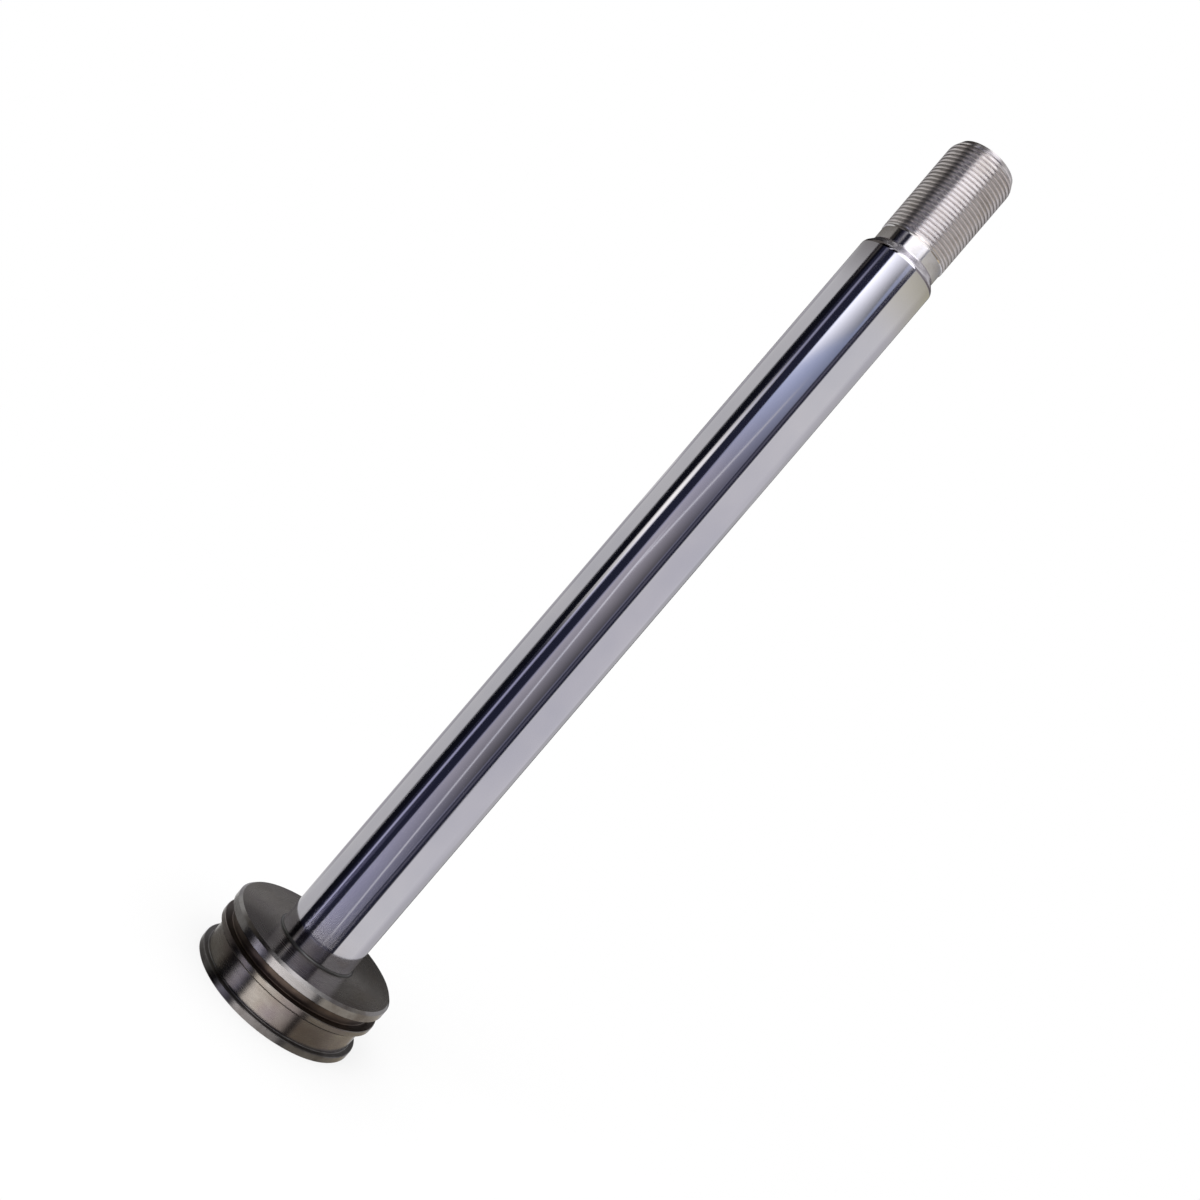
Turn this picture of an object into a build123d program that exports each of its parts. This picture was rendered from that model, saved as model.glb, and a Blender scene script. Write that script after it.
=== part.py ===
"""Piston rod of a hydraulic cylinder, turned in one piece.

The grooved piston head stands on the floor, the chromed rod rises from it along +Z, and the
rod end carries a fine thread for a clevis or an eye. Origin: centre of the head's end face.
All sizes in millimetres.
"""
import os
from math import radians, tan

from build123d import *

# chromed rod
rod_diameter = 38.0
rod_length = 387.0  # from the head's face to the start of the shoulder chamfer
rod_root_fillet = 0.8

# piston head, from its end face up to the face that the rod leaves
head_diameter = 82.4
head_height = 27.8
rim_diameter = 81.5  # the end rim is turned a little under the two lands
rim_height = 3.2
guide_groove_width = 11.2  # wide groove for a guide ring
guide_groove_depth = 2.9
middle_land_width = 3.3
middle_land_chamfer = 0.9
seal_groove_width = 5.2  # narrow groove for a seal
seal_groove_depth = 3.9
groove_corner_radius = 0.4
face_chamfer = 1.2  # rod-side edge of the head
edge_break = 0.3  # the other sharp edges

# threaded rod end, M33 x 2, left plain at the thread's outer diameter
shoulder_chamfer_length = 3.5
shoulder_edge_radius = 3.0  # the rod's chrome rolls over into the chamfer
shoulder_root_fillet = 1.2
neck_diameter = 32.2
neck_length = 7.0
neck_step_length = 0.4
thread_diameter = 33.0
thread_length = 49.2  # with the lead chamfer
lead_chamfer_length = 4.0
lead_chamfer_depth = 2.15
lead_edge_radius = 6.0  # the chamfer runs softly into the first turns

# lathe centre in both end faces
centre_mouth_diameter = 8.5
centre_pilot_diameter = 4.0
centre_pilot_depth = 5.0
centre_cone_angle = 60.0
drill_point_angle = 118.0

# places along the axis
guide_groove_top = rim_height + guide_groove_width
middle_land_top = guide_groove_top + middle_land_width
seal_groove_top = middle_land_top + seal_groove_width
shoulder_start = head_height + rod_length
neck_start = shoulder_start + shoulder_chamfer_length
thread_start = neck_start + neck_length
rod_end = thread_start + thread_length

# radii of the turned outline
rod_radius = rod_diameter / 2
head_radius = head_diameter / 2
rim_radius = rim_diameter / 2
guide_groove_radius = head_radius - guide_groove_depth
seal_groove_radius = head_radius - seal_groove_depth
neck_radius = neck_diameter / 2
thread_radius = thread_diameter / 2


def turned_outline():
    """Half section of the shaft on the XZ plane, closed on the axis, with its edges broken."""
    corners = [
        (0, 0),
        (rim_radius, 0),
        (rim_radius, rim_height),
        (guide_groove_radius, rim_height),
        (guide_groove_radius, guide_groove_top),
        (head_radius, guide_groove_top),
        (head_radius, middle_land_top),
        (seal_groove_radius, middle_land_top),
        (seal_groove_radius, seal_groove_top),
        (head_radius, seal_groove_top),
        (head_radius, head_height),
        (rod_radius, head_height),
        (rod_radius, shoulder_start),
        (neck_radius, neck_start),
        (neck_radius, thread_start - neck_step_length),
        (thread_radius, thread_start),
        (thread_radius, rod_end - lead_chamfer_length),
        (thread_radius - lead_chamfer_depth, rod_end),
        (0, rod_end),
    ]
    land_edges = [
        (rim_radius, 0),
        (rim_radius, rim_height),
        (head_radius, middle_land_top),
        (head_radius, seal_groove_top),
    ]
    groove_corners = [
        (guide_groove_radius, rim_height),
        (guide_groove_radius, guide_groove_top),
        (seal_groove_radius, middle_land_top),
        (seal_groove_radius, seal_groove_top),
    ]
    with BuildSketch(Plane.XZ) as section:
        with BuildLine():
            Polyline(*corners, close=True)
        make_face()

        def corner(radius, height):
            """The outline's corner at one radius and height, in the sketch's own plane."""
            return section.vertices().sort_by_distance((radius, height, 0))[0]

        chamfer(corner(head_radius, head_height), face_chamfer)
        chamfer(corner(head_radius, guide_groove_top), middle_land_chamfer)
        chamfer([corner(*place) for place in land_edges], edge_break)
        fillet([corner(*place) for place in groove_corners], groove_corner_radius)
        fillet(corner(rod_radius, head_height), rod_root_fillet)
        fillet(corner(rod_radius, shoulder_start), shoulder_edge_radius)
        fillet(corner(neck_radius, neck_start), shoulder_root_fillet)
        fillet(corner(thread_radius, rod_end - lead_chamfer_length), lead_edge_radius)
    return section.sketch


def lathe_centre():
    """A centre drill's hole from a mouth at Z = 0 downwards: 60 degree cone, pilot and drill point."""
    mouth = centre_mouth_diameter / 2
    pilot = centre_pilot_diameter / 2
    cone_depth = (mouth - pilot) / tan(radians(centre_cone_angle / 2))
    pilot_end = cone_depth + centre_pilot_depth
    point_end = pilot_end + pilot / tan(radians(drill_point_angle / 2))
    corners = [(0, 0), (mouth, 0), (pilot, -cone_depth), (pilot, -pilot_end), (0, -point_end)]
    with BuildPart() as hole:
        with BuildSketch(Plane.XZ):
            with BuildLine():
                Polyline(*corners, close=True)
            make_face()
        revolve(axis=Axis.Z)
    return hole.part


def piston_rod():
    """The whole shaft: one revolved outline with a centre hole drilled in each end."""
    shaft = revolve(turned_outline(), axis=Axis.Z)
    centre = lathe_centre()
    shaft -= Pos(0, 0, rod_end) * centre
    shaft -= Rot(180, 0, 0) * centre
    return shaft


os.makedirs("parts", exist_ok=True)
shaft = piston_rod()
shaft.label = "piston_rod"
export_step(shaft, "parts/piston_rod.step")
print(f"piston_rod: {rod_end:.1f} mm long, {shaft.volume / 1000:.1f} cm3")
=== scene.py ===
from math import atan, ceil, cos, pi, radians, sin, sqrt, tan

import bmesh
import bpy
from mathutils import Matrix, Vector


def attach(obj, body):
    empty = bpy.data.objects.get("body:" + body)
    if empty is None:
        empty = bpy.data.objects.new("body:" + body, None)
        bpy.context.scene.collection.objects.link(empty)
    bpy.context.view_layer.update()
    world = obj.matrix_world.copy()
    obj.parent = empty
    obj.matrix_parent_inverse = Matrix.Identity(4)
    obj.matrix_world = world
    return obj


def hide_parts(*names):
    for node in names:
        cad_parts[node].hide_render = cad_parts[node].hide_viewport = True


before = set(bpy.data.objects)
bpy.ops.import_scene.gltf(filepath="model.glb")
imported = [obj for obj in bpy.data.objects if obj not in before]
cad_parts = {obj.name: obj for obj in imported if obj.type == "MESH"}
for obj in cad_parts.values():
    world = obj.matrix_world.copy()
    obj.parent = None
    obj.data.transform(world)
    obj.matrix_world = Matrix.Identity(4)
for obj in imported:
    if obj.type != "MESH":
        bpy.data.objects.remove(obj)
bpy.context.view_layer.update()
print("frame loaded:", sorted(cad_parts))

# All lengths are millimetres until they reach a mesh.
mm = 0.001


def linear(hexColour):
    # sRGB hex to the linear colour that Blender's sockets take
    parts = [int(hexColour[i:i + 2], 16) / 255 for i in (0, 2, 4)]
    return [c / 12.92 if c <= 0.04045 else ((c + 0.055) / 1.055) ** 2.4 for c in parts] + [1.0]


def addNode(tree, kind, settings=None, inputs=None):
    # one node with its settings; an input is a number, a colour or another node's socket
    node = tree.nodes.new(kind)
    for name, value in (settings or {}).items():
        setattr(node, name, value)
    for name, value in (inputs or {}).items():
        if isinstance(value, bpy.types.NodeSocket):
            tree.links.new(value, node.inputs[name])
        else:
            node.inputs[name].default_value = value
    return node


def newMaterial(name):
    material = bpy.data.materials.new(name)
    material.use_nodes = True
    material.node_tree.nodes.clear()
    return material, material.node_tree


def meshObject(name, vertices, faces, materials=()):
    mesh = bpy.data.meshes.new(name)
    mesh.from_pydata(vertices, [], faces)
    for material in materials:
        mesh.materials.append(material)
    item = bpy.data.objects.new(name, mesh)
    bpy.context.scene.collection.objects.link(item)
    return item


metals = {
    "grindLine": 0.5,       # mm; real grinding lines are about 0.02, too fine to show
    "turningLine": 0.45,    # mm; the real feed is about 0.15
    "broadLine": 3.5,       # mm between the broad streaks of a lathe cut
    "stainSize": 16.0,      # mm across one patch of old oil and oxide
    "smearSize": 30.0,      # mm along a wiping mark on the chrome
    # darker patches: the middle and the reach in mm, and how much it covers; the first is darker towards the
    # bottom of the wide groove at the front right, the second is painted shade on the face's front left, a
    # darker reflection painted in
    "darkPatches": [((19.0, -33.0, 4.0), 19.0, 0.6), ((-27.0, -27.0, 28.0), 21.0, 0.95)],
}


def ringPattern(tree, line, detail, drift=0.03):
    # lathe marks, line mm apart: noise that changes quickly along the profile and, by the share
    # drift, slowly round it
    place = addNode(tree, "ShaderNodeTexCoord").outputs["Object"]
    part = addNode(tree, "ShaderNodeSeparateXYZ", None, {0: place})
    flat = addNode(tree, "ShaderNodeVectorMath", {"operation": "MULTIPLY"}, {0: place, 1: (1, 1, 0)})
    radius = addNode(tree, "ShaderNodeVectorMath", {"operation": "LENGTH"}, {0: flat.outputs[0]})
    along = addNode(tree, "ShaderNodeMath", {"operation": "ADD"}, {
        0: radius.outputs["Value"], 1: part.outputs["Z"]})
    fine = 1 / (line * mm)
    lead = addNode(tree, "ShaderNodeMath", {"operation": "MULTIPLY"}, {0: along.outputs[0], 1: fine})
    slow = addNode(tree, "ShaderNodeVectorMath", {"operation": "SCALE"}, {
        0: flat.outputs[0], "Scale": drift * fine})
    turn = addNode(tree, "ShaderNodeSeparateXYZ", None, {0: slow.outputs[0]})
    spot = addNode(tree, "ShaderNodeCombineXYZ", None, {
        "X": lead.outputs[0], "Y": turn.outputs["X"], "Z": turn.outputs["Y"]})
    return addNode(tree, "ShaderNodeTexNoise", None, {
        "Vector": spot.outputs[0], "Scale": 1.0, "Detail": detail, "Roughness": 0.6}).outputs["Fac"]


def patchPattern(tree, size, detail, low, high):
    # soft patches of one size in mm, stretched to run from 0 to 1
    place = addNode(tree, "ShaderNodeTexCoord").outputs["Object"]
    noise = addNode(tree, "ShaderNodeTexNoise", None, {
        "Vector": place, "Scale": 1 / (size * mm), "Detail": detail, "Roughness": 0.55})
    return addNode(tree, "ShaderNodeMapRange", None, {
        "Value": noise.outputs["Fac"], "From Min": low, "From Max": high}).outputs["Result"]


def mixValue(tree, factor, low, high):
    return addNode(tree, "ShaderNodeMapRange", None, {
        "Value": factor, "From Min": 0.0, "From Max": 1.0, "To Min": low, "To Max": high}).outputs["Result"]


def mixColour(tree, factor, first, second):
    node = addNode(tree, "ShaderNodeMix", {"data_type": "RGBA"}, {0: factor, 6: first, 7: second})
    return node.outputs[2]


def metalShader(tree, colour, roughness, marks, strength, markDepth, anisotropic):
    # a metal with its lathe marks as bump, markDepth mm deep; the tangent runs round the axis, so
    # a quarter turn spreads the highlight across the marks
    bump = addNode(tree, "ShaderNodeBump", None, {
        "Strength": strength, "Distance": markDepth * mm, "Height": marks})
    aroundAxis = addNode(tree, "ShaderNodeTangent", {"direction_type": "RADIAL", "axis": "Z"})
    shader = addNode(tree, "ShaderNodeBsdfPrincipled", None, {
        "Base Color": colour, "Metallic": 1.0, "Roughness": roughness, "Anisotropic": anisotropic,
        "Anisotropic Rotation": 0.25, "Tangent": aroundAxis.outputs[0], "Normal": bump.outputs[0]})
    addNode(tree, "ShaderNodeOutputMaterial", None, {"Surface": shader.outputs[0]})


def hardChromeGround():
    # hard chromium, ground and polished: cool, nearly a mirror round the rod, a little
    # softer along it where the grinding lines scatter
    material, tree = newMaterial("hardChromeGround")
    rings = ringPattern(tree, metals["grindLine"], detail=3.0)
    smears = patchPattern(tree, metals["smearSize"], detail=2.0, low=0.35, high=0.7)
    tone = mixColour(tree, smears, linear("bdbbc1"), linear("b5b4bc"))
    rough = mixValue(tree, rings, 0.06, 0.11)
    metalShader(tree, tone, rough, rings, strength=0.02, markDepth=0.02, anisotropic=0.5)
    return material


def turnedSteel():
    # bare carbon steel straight from the lathe: brown-grey, streaked round the axis, with
    # patches of old oil and light oxide that dull it
    material, tree = newMaterial("turnedSteel")
    rings = ringPattern(tree, metals["turningLine"], detail=4.0)
    patches = patchPattern(tree, metals["stainSize"], detail=5.0, low=0.42, high=0.66)
    broad = ringPattern(tree, metals["broadLine"], detail=2.0, drift=0.4)
    hues = patchPattern(tree, metals["stainSize"] * 1.5, detail=2.0, low=0.35, high=0.65)
    fine = mixColour(tree, rings, linear("78746f"), linear("949089"))
    streaked = addNode(tree, "ShaderNodeMix", {"data_type": "RGBA", "blend_type": "MULTIPLY"}, {
        0: 0.8, 6: fine, 7: mixColour(tree, broad, linear("a8a4a2"), linear("ffffff"))}).outputs[2]
    stain = mixColour(tree, hues, linear("6c6458"), linear("665f62"))
    stained = mixColour(tree, patches, streaked, stain)
    # painted shade on the face's front left, where its reflection is darker, and a patch darker towards the
    # bottom of the wide groove at the front right
    tone = stained
    place = addNode(tree, "ShaderNodeTexCoord").outputs["Object"]
    for middle, reach, share in metals["darkPatches"]:
        away = addNode(tree, "ShaderNodeVectorMath", {"operation": "DISTANCE"}, {
            0: place, 1: [c * mm for c in middle]}).outputs["Value"]
        run = addNode(tree, "ShaderNodeMapRange", {"interpolation_type": "SMOOTHSTEP"}, {
            "Value": away, "From Min": reach * mm, "From Max": 0.3 * reach * mm, "To Max": share})
        tone = mixColour(tree, run.outputs["Result"], tone, linear("463e3b"))
    rough = mixValue(tree, rings, 0.2, 0.32)
    metalShader(tree, tone, rough, rings, strength=0.12, markDepth=0.03, anisotropic=0.75)
    return material


def brightSteel():
    # the shoulder and the neck, finished fine and clean: a pale steel nearly as sharp as the chrome
    material, tree = newMaterial("brightSteel")
    rings = ringPattern(tree, metals["turningLine"], detail=3.0)
    patches = patchPattern(tree, metals["stainSize"] * 0.5, detail=3.0, low=0.45, high=0.7)
    tone = mixColour(tree, patches, linear("d6d4d6"), linear("c6c2c1"))
    rough = mixValue(tree, rings, 0.1, 0.16)
    metalShader(tree, tone, rough, rings, strength=0.02, markDepth=0.02, anisotropic=0.6)
    return material


def rubbedSteel():
    # the top land, rubbed bright by the bore: paler and smoother than the grooves under it
    material, tree = newMaterial("rubbedSteel")
    rings = ringPattern(tree, metals["turningLine"], detail=4.0)
    patches = patchPattern(tree, metals["stainSize"] * 0.6, detail=4.0, low=0.45, high=0.68)
    streaked = mixColour(tree, rings, linear("7b7978"), linear("939190"))
    tone = mixColour(tree, patches, streaked, linear("6c6764"))
    rough = mixValue(tree, rings, 0.2, 0.28)
    metalShader(tree, tone, rough, rings, strength=0.08, markDepth=0.03, anisotropic=0.6)
    return material


def satinSteel():
    # the shoulder chamfer: pale, with a soft satin shine
    material, tree = newMaterial("satinSteel")
    rings = ringPattern(tree, metals["turningLine"], detail=3.0)
    patches = patchPattern(tree, metals["stainSize"] * 0.5, detail=3.0, low=0.45, high=0.7)
    tone = mixColour(tree, patches, linear("cfccd1"), linear("c0bdc1"))
    rough = mixValue(tree, rings, 0.22, 0.3)
    metalShader(tree, tone, rough, rings, strength=0.03, markDepth=0.02, anisotropic=0.3)
    return material


def cutThreadSteel():
    # the same steel with the thread cut in it: grey, with a soft satin shine
    material, tree = newMaterial("cutThreadSteel")
    rings = ringPattern(tree, metals["turningLine"], detail=3.0)
    patches = patchPattern(tree, metals["stainSize"] * 0.6, detail=4.0, low=0.45, high=0.7)
    streaked = mixColour(tree, rings, linear("b4b0b0"), linear("c8c4c4"))
    worn = mixColour(tree, patches, streaked, linear("aaa5a2"))
    # painted light: the cut is paler than the crests, which softens the shading lines that its flanks draw
    cut = addNode(tree, "ShaderNodeAttribute", {"attribute_name": "cut"}).outputs["Fac"]
    tone = mixColour(tree, cut, worn, linear("e2dcda"))
    rough = mixValue(tree, rings, 0.24, 0.34)
    metalShader(tree, tone, rough, rings, strength=0.04, markDepth=0.02, anisotropic=0.6)
    return material


def dulledSteel():
    # the rim that the head stands on: the turned steel gone dark with handling and oxide
    material, tree = newMaterial("dulledSteel")
    rings = ringPattern(tree, metals["turningLine"], detail=4.0)
    patches = patchPattern(tree, metals["stainSize"] * 0.6, detail=5.0, low=0.4, high=0.66)
    streaked = mixColour(tree, rings, linear("5a5857"), linear("706e6d"))
    tone = mixColour(tree, patches, streaked, linear("494644"))
    rough = mixValue(tree, rings, 0.22, 0.36)
    metalShader(tree, tone, rough, rings, strength=0.12, markDepth=0.03, anisotropic=0.75)
    return material


def shadedDarkSteel(name, dark, pale):
    # painted shade: the steel made nearly black with a dull wet shine where a recess lies in shade:
    # brown in the seal groove, grey in the corner at the rod's foot
    material, tree = newMaterial(name)
    rings = ringPattern(tree, metals["turningLine"], detail=4.0)
    patches = patchPattern(tree, metals["stainSize"] * 0.5, detail=4.0, low=0.4, high=0.65)
    tone = mixColour(tree, patches, linear(dark), linear(pale))
    rough = mixValue(tree, rings, 0.28, 0.42)
    metalShader(tree, tone, rough, rings, strength=0.1, markDepth=0.03, anisotropic=0.5)
    return material


shaft = {
    "steps": 192,             # round the axis, and so in each turn of the helix too
    "rodRadius": 19.0,
    "rodRootFillet": 0.8,
    "footShadeWidth": 1.0,          # painted shade: a darker ring in the corner where the rod leaves the head, which dims the fillet's highlight there
    "headRadius": 41.2,
    "headHeight": 27.8,
    "rimRadius": 40.75,
    "rimHeight": 3.2,
    "guideGrooveRadius": 38.3,
    "guideGrooveTop": 14.4,
    "middleLandTop": 17.7,
    "middleLandChamfer": 0.9,
    "sealGrooveRadius": 37.3,
    "sealGrooveTop": 22.9,
    "grooveCorner": 0.4,
    "faceChamfer": 1.2,
    "edgeBreak": 0.3,
    "shoulderStart": 414.8,
    "shoulderEdge": 3.0,
    "chromeOver": 4,          # rings of the roll-over that are still chromed
    "neckStart": 418.3,
    "shoulderRoot": 1.2,
    "neckRadius": 16.1,
    "neckStep": 0.4,
    "threadStart": 425.3,
    "threadRadius": 16.5,
    "threadPitch": 2.0,
    "threadDepth": 0.8,       # two thirds of a full cut, which keeps its lines soft
    "runIn": 1.2,             # pitches over which the cut deepens at the neck
    "runOut": 1.5,            # pitches over which it fades at the rod's end
    "plainEnd": 0.3,          # and how much is left plain there
    "filletChords": 8,
    "bandSupport": 0.15,      # a straight run on either side of a fillet, so long bands keep a true shine
    "rodEnd": 474.5,
    "leadLength": 4.0,
    "leadDepth": 2.15,
    "leadEdge": 6.0,
    "centreMouth": 4.25,      # radii and depths of the lathe centre in each end
    "centrePilot": 2.0,
    "centreConeDepth": 3.897,
    "centrePilotDepth": 8.897,
    "centreTipDepth": 10.099,
    "seamGap": 0.002,         # vertices nearer than this are one
    "sharpEdge": 25.0,        # degrees; a flatter edge is shaded smooth
}

# the rod's metals, in the order of its material slots
metalNames = ["chrome", "turned", "bright", "thread", "sealGrooveShade", "dulled", "satin", "rubbed", "footShadeRing"]

# one turn of the thread as (share of the pitch, share of the depth): crest flat, flank, root, flank
threadTurn = [
    (0.0, 0.0), (0.36, 0.0), (0.6, 0.95), (0.63, 1.0), (0.67, 1.0), (0.7, 0.95), (0.94, 0.0),
]


def rounded(before, corner, after, radius, support, chords):
    # a corner of the outline as a fillet of a few chords, with a short straight run on either side
    if not radius:
        return [corner]
    here = Vector(corner)
    back, on = (Vector(before) - here).normalized(), (Vector(after) - here).normalized()
    half = back.angle(on) / 2
    reach = radius / tan(half)
    middle = here + (back + on).normalized() * radius / sin(half)
    start, end = here + back * reach - middle, here + on * reach - middle
    steps = [middle + start.slerp(end, i / chords) * radius for i in range(chords + 1)]
    return [tuple(p) for p in [steps[0] + back * support] + steps + [steps[-1] + on * support]]


def turnedRings(p):
    # the outline from the tip of the lower lathe centre up to the thread, as rings of
    # (radius, height, metal of the band above); a corner is its radius and height, a fillet and
    # the metal
    b, c, m, f = p["edgeBreak"], p["grooveCorner"], p["middleLandChamfer"], p["faceChamfer"]
    rim, head, guide, seal = p["rimRadius"], p["headRadius"], p["guideGrooveRadius"], p["sealGrooveRadius"]
    corners = [
        (0, p["centreTipDepth"], 0, "turned"),
        (p["centrePilot"], p["centrePilotDepth"], 0, "turned"),
        (p["centrePilot"], p["centreConeDepth"], 0, "turned"),
        (p["centreMouth"], 0, 0, "turned"),
        (rim - b, 0, 0, "dulled"),
        (rim, b, 0, "dulled"),
        (rim, p["rimHeight"] - b, 0, "dulled"),
        (rim - b, p["rimHeight"], 0, "dulled"),
        (guide, p["rimHeight"], c, "turned"),
        (guide, p["guideGrooveTop"], c, "turned"),
        (head - m, p["guideGrooveTop"], 0, "turned"),
        (head, p["guideGrooveTop"] + m, 0, "turned"),
        (head, p["middleLandTop"] - b, 0, "turned"),
        # painted shade: the seal groove is made nearly black
        (head - b, p["middleLandTop"], 0, "sealGrooveShade"),
        (seal, p["middleLandTop"], c, "sealGrooveShade"),
        (seal, p["sealGrooveTop"], c, "sealGrooveShade"),
        (head - b, p["sealGrooveTop"], 0, "rubbed"),
        (head, p["sealGrooveTop"] + b, 0, "rubbed"),
        (head, p["headHeight"] - f, 0, "rubbed"),
        (head - f, p["headHeight"], 0, "turned"),
        # painted shade: the ring and the fillet at the rod's foot are darkened to dim their highlight
        (p["rodRadius"] + p["footShadeWidth"], p["headHeight"], 0, "footShadeRing"),
        (p["rodRadius"], p["headHeight"], p["rodRootFillet"], "chrome"),
        (p["rodRadius"], p["shoulderStart"], p["shoulderEdge"], "satin"),
        (p["neckRadius"], p["neckStart"], p["shoulderRoot"], "bright"),
        (p["neckRadius"], p["threadStart"] - p["neckStep"], 0, "bright"),
    ]
    rings = []
    for i, (r, z, fillet, metal) in enumerate(corners):
        before, after = corners[max(0, i - 1)][:2], corners[min(i + 1, len(corners) - 1)][:2]
        run = rounded(before, (r, z), after, fillet, p["bandSupport"], p["filletChords"])
        was = corners[max(0, i - 1)][3]
        # a fillet and its straight runs keep the metal of the band that they leave, but the
        # chrome stops where the rod rolls over into the shoulder chamfer
        stay = p["chromeOver"] if (was, metal) == ("chrome", "satin") else len(run) - 1
        rings += [(x, y, was if k < stay else metal) for k, (x, y) in enumerate(run)]
    return rings


def threadCut(p, height, turn):
    # how deep the cut is at a height, for a share of a turn round the axis: 0 crest, 1 root
    share = (height - p["threadStart"]) / p["threadPitch"] - turn
    share -= share // 1
    stops = threadTurn + [(1.0, 0.0)]
    for (u0, d0), (u1, d1) in zip(stops, stops[1:]):
        if share <= u1:
            depth = d0 + (d1 - d0) * (share - u0) / (u1 - u0)
            break
    runIn = (height - p["threadStart"]) / (p["runIn"] * p["threadPitch"])
    runOut = (p["rodEnd"] - height - p["plainEnd"]) / (p["runOut"] * p["threadPitch"])
    return depth * min(1.0, max(0.0, runIn)) * min(1.0, max(0.0, runOut))


def leadRadius(p, height):
    # the outside of the thread: straight, then a soft edge, then the chamfer at the rod's end
    slope = p["leadDepth"] / p["leadLength"]
    lean = atan(slope)
    edge = p["leadEdge"]
    rise = height - (p["rodEnd"] - p["leadLength"] - edge * tan(lean / 2))
    if rise <= 0:
        return p["threadRadius"]
    if rise < edge * sin(lean):
        return p["threadRadius"] - edge + sqrt(edge ** 2 - rise ** 2)
    return p["threadRadius"] - slope * (height - p["rodEnd"] + p["leadLength"])


def threadRows(p):
    # right-hand helix: each row climbs one pitch a turn, held between the thread's two ends
    low, high, pitch, steps = p["threadStart"], p["rodEnd"], p["threadPitch"], p["steps"]
    turns = range(-1, ceil((high - low) / pitch) + 1)
    rows = []
    for start in [(k + share) * pitch for k in turns for share, _ in threadTurn]:
        row = []
        for j in range(steps + 1):
            height = min(high, max(low, low + start + pitch * j / steps))
            cut = threadCut(p, height, j / steps)
            row.append((leadRadius(p, height) - cut * p["threadDepth"], height, cut))
        rows.append(row)
    return rows


def shaftMesh(p):
    # rows from the tip of the lower lathe centre to the tip of the upper one
    rings = turnedRings(p)
    columns = p["steps"] + 1
    rows = [([(r, z, 0)] * columns, metal) for r, z, metal in rings]
    rows += [(row, "thread") for row in threadRows(p)]
    centre = [(p["centreMouth"], 0), (p["centrePilot"], p["centreConeDepth"])]
    centre += [(p["centrePilot"], p["centrePilotDepth"]), (0, p["centreTipDepth"])]
    rows += [([(r, p["rodEnd"] - d, 0)] * columns, "bright") for r, d in centre]
    vertices, faces, metalOf, cuts = [], [], [], []
    for i, (row, metal) in enumerate(rows):
        for j, (r, z, cut) in enumerate(row):
            a = 2 * pi * j / p["steps"]
            vertices.append((r * mm * cos(a), r * mm * sin(a), z * mm))
            cuts.append(cut)
            if i and j:
                k = i * columns + j
                faces.append((k - columns - 1, k - columns, k, k - 1))
                metalOf.append(metalNames.index(rows[i - 1][1]))
    return vertices, faces, metalOf, cuts


def makeShaft():
    vertices, faces, metalOf, cuts = shaftMesh(shaft)
    metalMade = {
        "chrome": hardChromeGround(),
        "turned": turnedSteel(),
        "bright": brightSteel(),
        "thread": cutThreadSteel(),
        # painted shade that darkens the seal groove
        "sealGrooveShade": shadedDarkSteel("shadedDarkSteel", "463d37", "574c44"),
        "dulled": dulledSteel(),
        "satin": satinSteel(),
        "rubbed": rubbedSteel(),
        # painted shade in the corner at the rod's foot
        "footShadeRing": shadedDarkSteel("footCornerShade", "50504f", "5b5b5a"),
    }
    item = meshObject("pistonRod", vertices, faces, [metalMade[name] for name in metalNames])
    item.data.attributes.new("cut", "FLOAT", "POINT").data.foreach_set("value", cuts)
    for face, metal in zip(item.data.polygons, metalOf):
        face.material_index = metal
        face.use_smooth = True
    # close the seam: the thread's last column meets its first one a turn higher
    solid = bmesh.new()
    solid.from_mesh(item.data)
    bmesh.ops.remove_doubles(solid, verts=solid.verts, dist=shaft["seamGap"] * mm)
    bmesh.ops.recalc_face_normals(solid, faces=solid.faces)
    openEdges = sum(1 for edge in solid.edges if len(edge.link_faces) != 2)
    solid.to_mesh(item.data)
    solid.free()
    item.data.set_sharp_from_angle(angle=radians(shaft["sharpEdge"]))
    print("shaft made:", len(item.data.polygons), "faces,", openEdges, "open edges")
    return item


rod = makeShaft()
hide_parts("piston_rod")
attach(rod, "root")


studio = {
    "floorReach": 4.0,        # m
    "floorColour": "fbfbfb",
    "floorFade": (0.12, 0.8),  # m from the shaft; further out the floor is plain white
    "skyLight": 0.96,        # for the floor; the camera and the metal see plain white
    "keyPower": 5.0,          # W
    "keySize": 0.9,           # m
    "keyPlace": (-0.55, -0.75, 1.3),
    "cardReach": 1.2,         # m from the axis to the cards, less a step for each layer
    "cardStep": 0.03,
    "cardTurn": 4,            # degrees across one face of a bent card, at the most
    "cardRise": 0.3,          # m up one face, at the most
    "ovalSides": 48,
    "ovalMiddle": 0.001,      # the share of a flat card's size that is left open at its middle
    "floorGlow": 0.75,        # how much of the floor's white near the shaft is its own
}

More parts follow.
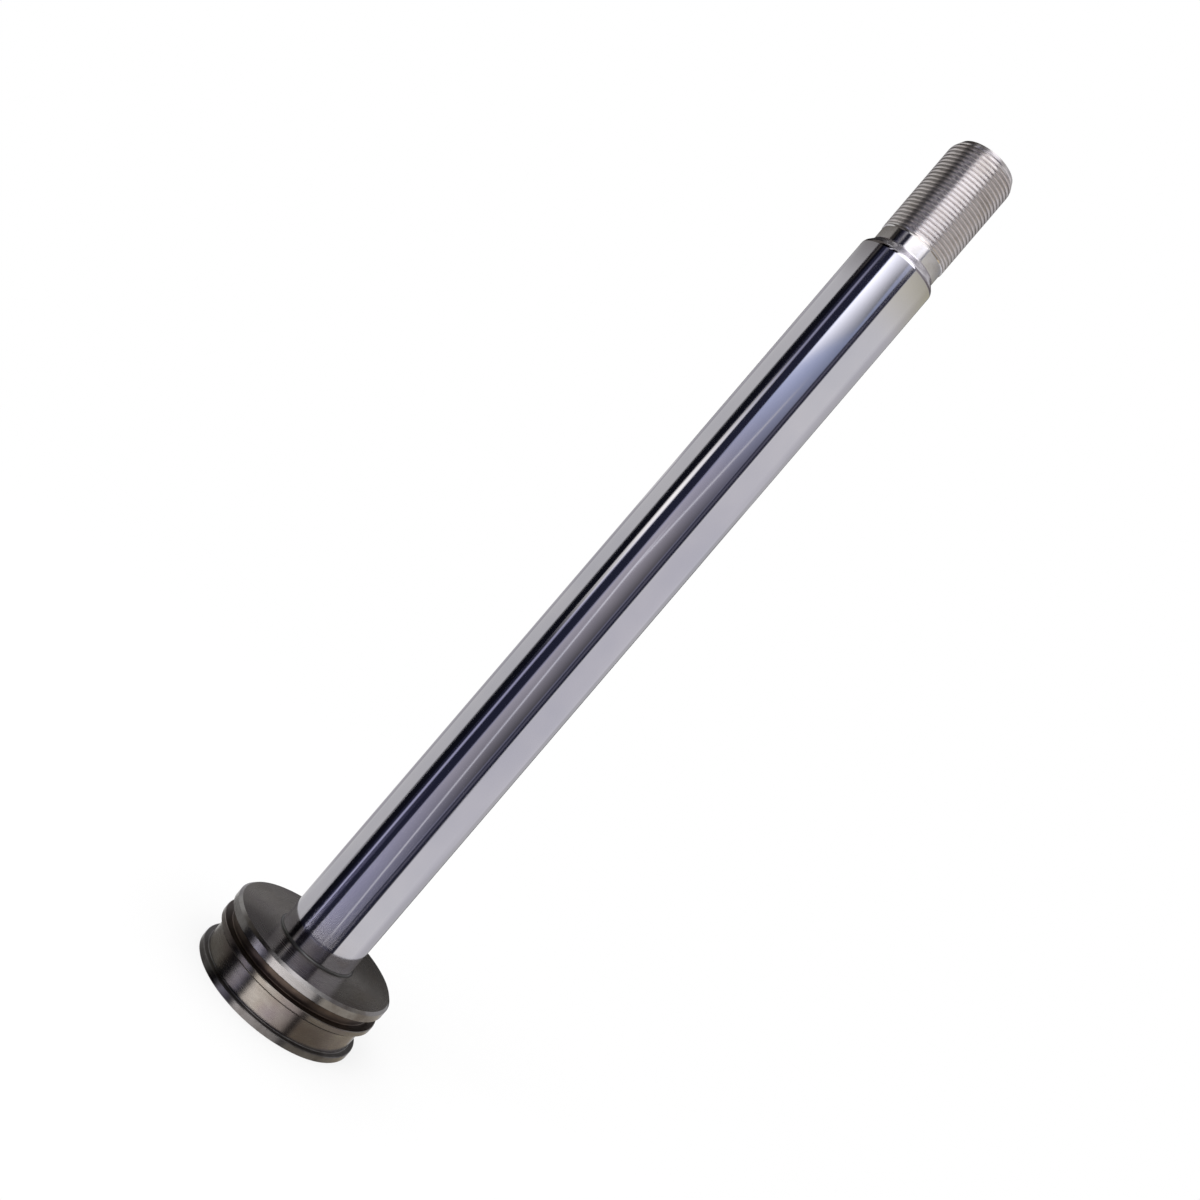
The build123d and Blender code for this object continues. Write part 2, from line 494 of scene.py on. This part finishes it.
# Cards stand round the shaft and only reflections see them. turn is degrees from the camera's
# side, positive to its right, for the left and right edge, and again for the top where it leans;
# height is the lower and upper edge in metres, and again for the right where it slopes; glow is
# a strength for the bottom left, bottom right, top left and top right; soft is how wide the
# edges fade, in degrees and in metres; a card with a higher layer stands in front.
cards = {
    # what the rod shows between its two pale sides
    "darkRoom": {
        "layer": 0, "turn": (-83, 45, -83, 41), "height": (-1.4, 2.2),
        "tint": "2b2d40", "glow": (1, 1, 1, 1), "soft": (3, 0.1)},
    "darkFoot": {
        "layer": 1, "turn": (38, 46), "height": (-1.4, 0.0),
        "tint": "2b2d3a", "glow": (1, 1, 1, 1), "soft": (2, 0.2)},
    "blackFlag": {
        "layer": 1, "turn": (-84, -64), "height": (-1.4, 2.2),
        "tint": "15161f", "glow": (1, 1, 1, 1), "soft": (3, 0.1)},
    "blackBulge": {
        "layer": 2, "turn": (-89, -78), "height": (-0.4, 1.0),
        "tint": "1a1b22", "glow": (1, 1, 1, 1), "soft": (6, 0.42)},
    "slotLight": {
        "layer": 2, "turn": (-60, -51), "height": (-1.4, 0.86),
        "tint": "b6b6d2", "glow": (1.9, 1.9, 0.85, 0.85), "soft": (3.5, 0.1)},
    "slotFoot": {
        "layer": 3, "turn": (-55, -43), "height": (-1.4, -0.1),
        "tint": "747492", "glow": (0.5, 0.5, 0.78, 0.78), "soft": (4, 0.16)},
    "slotGlow": {
        "layer": 3, "turn": (-66, -51), "height": (0.14, 0.63),
        "tint": "fffdf6", "glow": (2.1, 2.1, 1.8, 1.8), "soft": (5, 0.25)},
    "slotTop": {
        "layer": 5, "turn": (-52.5, -43.5), "height": (0.84, 2.4),
        "tint": "f6f4f8", "glow": (1.25, 1.25, 1.2, 1.2), "soft": (3.5, 0.012)},
    "slotNeck": {
        "layer": 5, "turn": (-56, -46), "height": (0.795, 0.84),
        "tint": "d8d6da", "glow": (0.55, 0.55, 0.9, 0.9), "soft": (4, 0.01)},
    "wall": {
        "layer": 1, "turn": (-31.5, 29, -33.5, 29), "height": (-1.4, 2.2),
        "tint": "c2c2dc", "glow": (0.95, 0.46, 0.95, 0.42), "soft": (3, 0.1)},
    "wallWarm": {
        "layer": 2, "turn": (-30, 26), "height": (-0.24, 0.54),
        "tint": "bbb7bf", "glow": (1.1, 0.18, 1.55, 0.26), "soft": (3, 0.2)},
    "blueGlow": {
        "layer": 2, "turn": (-33, 29), "height": (0.45, 1.0),
        "tint": "cfdcff", "glow": (1.3, 0.5, 1.7, 0.66), "soft": (3, 0.25)},
    "windowFoot": {
        "layer": 3, "turn": (-33, 25, -31, 16), "height": (0.62, 0.84, 0.7, 0.84),
        "tint": "f6f8ff", "glow": (1.7, 0.35, 3.0, 0.05), "soft": (3.5, 0.012)},
    "window": {
        "layer": 5, "turn": (-33, 34.5), "height": (0.792, 0.831),
        "tint": "faf9fc", "glow": (1.4, 1.4, 1.4, 1.4), "soft": (3, 0.01)},
    "windowHigh": {
        "layer": 4, "turn": (-28.5, 38.5), "height": (0.826, 2.4),
        "tint": "fcfafb", "glow": (2.35, 2.5, 3.0, 2.8), "soft": (3.5, 0.02)},
    "topBlack": {
        "layer": 4, "turn": (-86, -51), "height": (0.808, 2.6),
        "tint": "010102", "glow": (1, 1, 1, 1), "soft": (4, 0.02)},
    "topGap": {
        "layer": 3, "turn": (-48, -26), "height": (0.83, 2.6),
        "tint": "030304", "glow": (1, 1, 1, 1), "soft": (2, 0.02)},
    "lineDown": {
        "layer": 3, "turn": (12, 18, -21, -15), "height": (-0.45, 0.36),
        "tint": "f0f0f6", "glow": (1.0, 1.0, 1.4, 1.4), "soft": (3, 0.08)},
    "lineUp": {
        "layer": 3, "turn": (-18, -12, 8, 15), "height": (0.26, 0.62),
        "tint": "f0f0f6", "glow": (1.6, 1.6, 0.8, 0.8), "soft": (3, 0.06)},
    "darkFlag": {
        "layer": 2, "turn": (29, 37), "height": (-1.4, 0.8),
        "tint": "666574", "glow": (1, 1, 1, 1), "soft": (3, 0.1)},
    # the pale sides, a little greyer than the white behind them and greyest towards the back
    "leftGrey": {
        "layer": 0, "turn": (-172, -82), "height": (-1.4, 0.95),
        "tint": "dadad9", "glow": (1.1, 1.18, 1.1, 1.18), "soft": (3, 0.08)},
    "rightGrey": {
        "layer": 0, "turn": (100, 172), "height": (-1.4, 2.4),
        "tint": "eeedf0", "glow": (1.05, 0.5, 1.05, 0.5), "soft": (18, 0.08)},
    "rightMid": {
        "layer": 1, "turn": (42, 132), "height": (-0.3, 0.62),
        "tint": "ecebf0", "glow": (1.05, 1.05, 1.05, 1.05), "soft": (4, 0.25)},
    "rightWarm": {
        "layer": 1.5, "turn": (40, 168), "height": (0.74, 1.0),
        "tint": "e2dcb8", "glow": (1.1, 0.6, 1.1, 0.6), "soft": (5, 0.1)},
    "neckSide": {
        "layer": 3, "turn": (35, 158), "height": (0.815, 0.868),
        "tint": "c6c7d2", "glow": (1.08, 0.4, 1.08, 0.4), "soft": (2, 0.01)},
    # above the rod: what the neck and the thread show to the left and to the right
    "leftTop": {
        "layer": 1, "turn": (-172, -70), "height": (0.76, 2.4),
        "tint": "767069", "glow": (0.8, 0.88, 0.52, 0.52), "soft": (4, 0.1)},
    "rightTop": {
        "layer": 2, "turn": (39.5, 172), "height": (0.85, 1.3),
        "tint": "bbb1af", "glow": (0.84, 0.12, 0.84, 0.12), "soft": (3, 0.03)},
    "rightHigh": {
        "layer": 2, "turn": (37, 126), "height": (1.28, 2.0),
        "tint": "8f8d92", "glow": (1, 1, 1.3, 1.3), "soft": (3, 0.06)},
    # behind: what the head's face and the shoulder show
    "backRight": {
        "layer": 1, "turn": (163, 182), "height": (-0.34, 0.82),
        "tint": "2a2a28", "glow": (1, 1, 1, 1), "soft": (4, 0.06)},
    "faceRight": {
        "layer": 3, "turn": (158, 181), "height": (0.43, 0.95),
        "tint": "6c6a6a", "glow": (1, 1, 1, 1), "soft": (3, 0.04)},
    "backRightTop": {
        "layer": 1, "turn": (118, 184), "height": (0.84, 3.0),
        "tint": "d2d0d2", "glow": (1, 1, 1, 1), "soft": (5, 0.1)},
    "backLeft": {
        "layer": 2, "turn": (178, 224), "height": (-0.34, 0.82),
        "tint": "b8b6ba", "glow": (1.1, 1.1, 1.1, 1.1), "soft": (4, 0.08)},
    "backLeftTop": {
        "layer": 2, "turn": (176, 240), "height": (0.9, 3.0),
        "tint": "2c2a2a", "glow": (1, 1, 1, 1), "soft": (5, 0.06)},
    "faceDark": {
        "layer": 4, "turn": (178, 196), "height": (0.44, 1.3),
        "tint": "050505", "glow": (1, 1, 1, 1), "soft": (2.5, 0.03)},
    "faceLow": {
        "layer": 4, "turn": (158, 180), "height": (-0.34, 0.4),
        "tint": "020202", "glow": (1, 1, 1, 1), "soft": (3, 0.04)},
    "backBand": {
        "layer": 5, "turn": (150, 216), "height": (0.34, 0.435),
        "tint": "c9c7c8", "glow": (0.3, 1.5, 0.3, 1.5), "soft": (8, 0.02)},
    # below the rod's foot: what the head's lands and grooves show
    "lowLeft": {
        "layer": 3, "turn": (-155, -80), "height": (-1.6, -0.358),
        "tint": "6d6865", "glow": (0.9, 0.9, 0.9, 0.9), "soft": (4, 0.012)},
    "lowBlack": {
        "layer": 3, "turn": (-84, -59), "height": (-1.6, -0.358),
        "tint": "2a2a30", "glow": (1, 1, 1, 1), "soft": (3, 0.012)},
    "lowSlot": {
        "layer": 4, "turn": (-62, -41), "height": (-0.85, -0.358),
        "tint": "a6a4bc", "glow": (3.3, 3.3, 3.3, 3.3), "soft": (6, 0.012)},
    "landSlot": {
        "layer": 6, "turn": (-66, -45), "height": (-0.398, -0.338),
        "tint": "dcdbe4", "glow": (5, 5, 5, 5), "soft": (5, 0.01)},
    "lowDark": {
        "layer": 3, "turn": (-43, -33), "height": (-1.6, -0.358),
        "tint": "44444e", "glow": (1, 1, 1, 1), "soft": (3, 0.012)},
    "footShade": {
        "layer": 5, "turn": (-60, 40), "height": (-0.36, -0.311),
        "tint": "2a2a30", "glow": (1, 1, 1, 1), "soft": (4, 0.007)},
    "lowFront": {
        "layer": 4, "turn": (-34.5, 39), "height": (-1.6, -0.358),
        "tint": "f8f4f2", "glow": (5.0, 2.5, 5.0, 2.4), "soft": (5, 0.012)},
    "lowBrown": {
        "layer": 3, "turn": (37, 48), "height": (-1.6, -0.358),
        "tint": "2c2322", "glow": (1, 1, 1, 1), "soft": (3, 0.012)},
    "lowRight": {
        "layer": 3, "turn": (46, 155), "height": (-0.62, -0.358),
        "tint": "a0947e", "glow": (2.9, 1.9, 2.9, 1.9), "soft": (3, 0.012)},
    "lowRightFar": {
        "layer": 2, "turn": (46, 155), "height": (-1.6, -0.56),
        "tint": "8c8478", "glow": (1.1, 0.9, 1.1, 0.9), "soft": (3, 0.05)},
    "landRight": {
        "layer": 5, "turn": (50, 150), "height": (-0.41, -0.35),
        "tint": "8f887c", "glow": (1.5, 1.2, 1.5, 1.2), "soft": (5, 0.01)},
}

# Flat cards overhead, as ellipses: the middle, the half widths, how wide the edge fades, and the
# strength at the left and the right end, all in metres.
overhead = {
    "ceiling": {
        "middle": (0, 0, 3.1), "half": (1.3, 1.3), "soft": 0.1,
        "tint": "a8a6a6", "glow": (0.3, 1.4)},
    "skylight": {
        "middle": (0.05, -0.15, 3.0), "half": (0.75, 1.0), "soft": 0.2,
        "tint": "f6f5ff", "glow": (1.25, 1.25)},
    "frontSky": {
        "middle": (0.08, -0.8, 2.9), "half": (0.45, 0.42), "soft": 0.14,
        "tint": "faf8ff", "glow": (2.8, 2.8)},
    "groundLight": {
        "middle": (0, -0.2, -1.7), "half": (1.1, 1.1), "soft": 0.4,
        "tint": "f4efe9", "glow": (2.0, 1.6)},
}


def softSteps(start, end, soft, widest):
    # places from one edge to the other with their cover: none at the edges, whole inside the soft border
    inner = [start + soft, end - soft]
    count = max(1, ceil((inner[1] - inner[0]) / widest))
    places = [(start, 0.0)] + [(inner[0] + (inner[1] - inner[0]) * i / count, 1.0) for i in range(count + 1)]
    return places + [(end, 0.0)]


def studioCard(name, p, material):
    # a bent card with soft edges, as a grid of u from left to right and v from bottom to top
    left, right = p["turn"][:2]
    topLeft, topRight = p["turn"][-2:]
    low, high = p["height"][:2]
    lowRight, highRight = p["height"][-2:]
    reach = studio["cardReach"] - studio["cardStep"] * p["layer"]
    turns = softSteps(left, right, p["soft"][0], studio["cardTurn"])
    rises = softSteps(low, high, p["soft"][1], studio["cardRise"])
    across = [((a - left) / (right - left), cover) for a, cover in turns]
    upward = [((z - low) / (high - low), cover) for z, cover in rises]
    tint, glow = linear(p["tint"]), p["glow"]
    vertices, colours = [], []
    for v, coverV in upward:
        for u, coverU in across:
            first, last = left + (topLeft - left) * v, right + (topRight - right) * v
            bottom, top = low + (lowRight - low) * u, high + (highRight - high) * u
            a = radians(first + (last - first) * u)
            vertices.append((reach * sin(a), -reach * cos(a), bottom + (top - bottom) * v))
            strength = (glow[0] * (1 - u) + glow[1] * u) * (1 - v)
            strength += (glow[2] * (1 - u) + glow[3] * u) * v
            colours.append([strength * c for c in tint[:3]] + [coverU * coverV])
    n = len(across)
    faces = [(i * n + j, i * n + j + 1, (i + 1) * n + j + 1, (i + 1) * n + j)
             for i in range(len(upward) - 1) for j in range(n - 1)]
    cardObject(name, vertices, faces, colours, material)


def overheadCard(name, p, material):
    # a flat ellipse of three rings: the middle, the inside of the soft edge and the edge
    x, y, z = p["middle"]
    wide, deep = p["half"]
    count = studio["ovalSides"]
    vertices, colours = [], []
    tint = linear(p["tint"])
    for share, cover in ((studio["ovalMiddle"], 1.0), (1 - p["soft"] / wide, 1.0), (1.0, 0.0)):
        for j in range(count):
            a = 2 * pi * j / count
            vertices.append((x + share * wide * cos(a), y + share * deep * sin(a), z))
            side = 0.5 + 0.5 * share * cos(a)
            strength = p["glow"][0] * (1 - side) + p["glow"][1] * side
            colours.append([strength * c for c in tint[:3]] + [cover])
    faces = []
    for i in range(2):
        for j in range(count):
            k = (j + 1) % count
            faces.append((i * count + j, i * count + k, (i + 1) * count + k, (i + 1) * count + j))
    cardObject(name, vertices, faces, colours, material)


def cardObject(name, vertices, faces, colours, material):
    # only reflections see a card, and its glow is painted on its corners with the cover as alpha
    card = meshObject("card." + name, vertices, faces, [material])
    glowLayer = card.data.attributes.new("glow", "FLOAT_COLOR", "POINT")
    for i, colour in enumerate(colours):
        glowLayer.data[i].color = colour
    card.visible_camera = card.visible_diffuse = card.visible_shadow = card.visible_transmission = False


def cardMaterial():
    material, tree = newMaterial("studioCard")
    glow = addNode(tree, "ShaderNodeAttribute", {"attribute_name": "glow"})
    light = addNode(tree, "ShaderNodeEmission", None, {"Color": glow.outputs["Color"], "Strength": 1.0})
    clear = addNode(tree, "ShaderNodeBsdfTransparent")
    both = addNode(tree, "ShaderNodeMixShader", None, {
        0: glow.outputs["Alpha"], 1: clear.outputs[0], 2: light.outputs[0]})
    addNode(tree, "ShaderNodeOutputMaterial", None, {"Surface": both.outputs[0]})
    return material


def seenAsBackground(tree):
    # 1 for rays from the camera, off a mirror or through glass
    path = addNode(tree, "ShaderNodeLightPath")
    first = addNode(tree, "ShaderNodeMath", {"operation": "MAXIMUM"}, {
        0: path.outputs["Is Camera Ray"], 1: path.outputs["Is Glossy Ray"]})
    return addNode(tree, "ShaderNodeMath", {"operation": "MAXIMUM"}, {
        0: first.outputs[0], 1: path.outputs["Is Transmission Ray"]}).outputs[0]


def makeFloor():
    material, tree = newMaterial("studioFloor")
    place = addNode(tree, "ShaderNodeTexCoord").outputs["Object"]
    away = addNode(tree, "ShaderNodeVectorMath", {"operation": "LENGTH"}, {0: place}).outputs["Value"]
    near, far = studio["floorFade"]
    fade = addNode(tree, "ShaderNodeMapRange", {"interpolation_type": "SMOOTHSTEP"}, {
        "Value": away, "From Min": near, "From Max": far, "To Min": studio["floorGlow"]}).outputs["Result"]
    paint = addNode(tree, "ShaderNodeBsdfDiffuse", None, {"Color": linear(studio["floorColour"])})
    white = addNode(tree, "ShaderNodeEmission", None, {"Color": (1, 1, 1, 1), "Strength": 1.0})
    both = addNode(tree, "ShaderNodeMixShader", None, {0: fade, 1: paint.outputs[0], 2: white.outputs[0]})
    addNode(tree, "ShaderNodeOutputMaterial", None, {"Surface": both.outputs[0]})
    r = studio["floorReach"]
    corners = [(-r, -r, 0), (r, -r, 0), (r, r, 0), (-r, r, 0)]
    floor = meshObject("studioFloor", corners, [(0, 1, 2, 3)], [material])
    # the metal looks past the floor to the cards and the white round them
    floor.visible_glossy = False


def makeLight():
    world = bpy.data.worlds.new("softBox")
    world.use_nodes = True
    tree = world.node_tree
    tree.nodes.clear()
    strength = mixValue(tree, seenAsBackground(tree), studio["skyLight"], 1.0)
    back = addNode(tree, "ShaderNodeBackground", None, {"Color": (1, 1, 1, 1), "Strength": strength})
    addNode(tree, "ShaderNodeOutputWorld", None, {"Surface": back.outputs[0]})
    bpy.context.scene.world = world
    lamp = bpy.data.lights.new("keyLight", "AREA")
    lamp.shape, lamp.size, lamp.energy = "DISK", studio["keySize"], studio["keyPower"]
    key = bpy.data.objects.new("keyLight", lamp)
    key.location = studio["keyPlace"]
    key.rotation_euler = (-key.location).to_track_quat("-Z", "Y").to_euler()
    key.visible_glossy = False
    bpy.context.scene.collection.objects.link(key)


camera = {
    "lens": 37.53,           # mm on a 36 mm sensor
    "distance": 544.5,       # mm from the rod's axis
    "eyeHeight": 221.8,
    "sideways": -4.3,
    "roll": 40.57,           # degrees; the rod leans to the right in the frame
    "near": 0.01,            # m
    "far": 50,               # m
}


def makeCamera(p):
    lens = bpy.data.cameras.new("camera")
    lens.lens, lens.clip_start, lens.clip_end = p["lens"], p["near"], p["far"]
    view = bpy.data.objects.new("camera", lens)
    c, s = cos(radians(p["roll"])), sin(radians(p["roll"]))
    view.matrix_world = Matrix((
        (c, -s, 0, p["sideways"] * mm),
        (0, 0, -1, -p["distance"] * mm),
        (s, c, 0, p["eyeHeight"] * mm),
        (0, 0, 0, 1)))
    bpy.context.scene.collection.objects.link(view)
    bpy.context.scene.camera = view


makeFloor()
glowing = cardMaterial()
for name, parts in cards.items():
    studioCard(name, parts, glowing)
for name, parts in overhead.items():
    overheadCard(name, parts, glowing)
makeLight()
makeCamera(camera)
bpy.context.scene.view_settings.view_transform = "Standard"
print("studio made:", len(cards) + len(overhead), "cards")
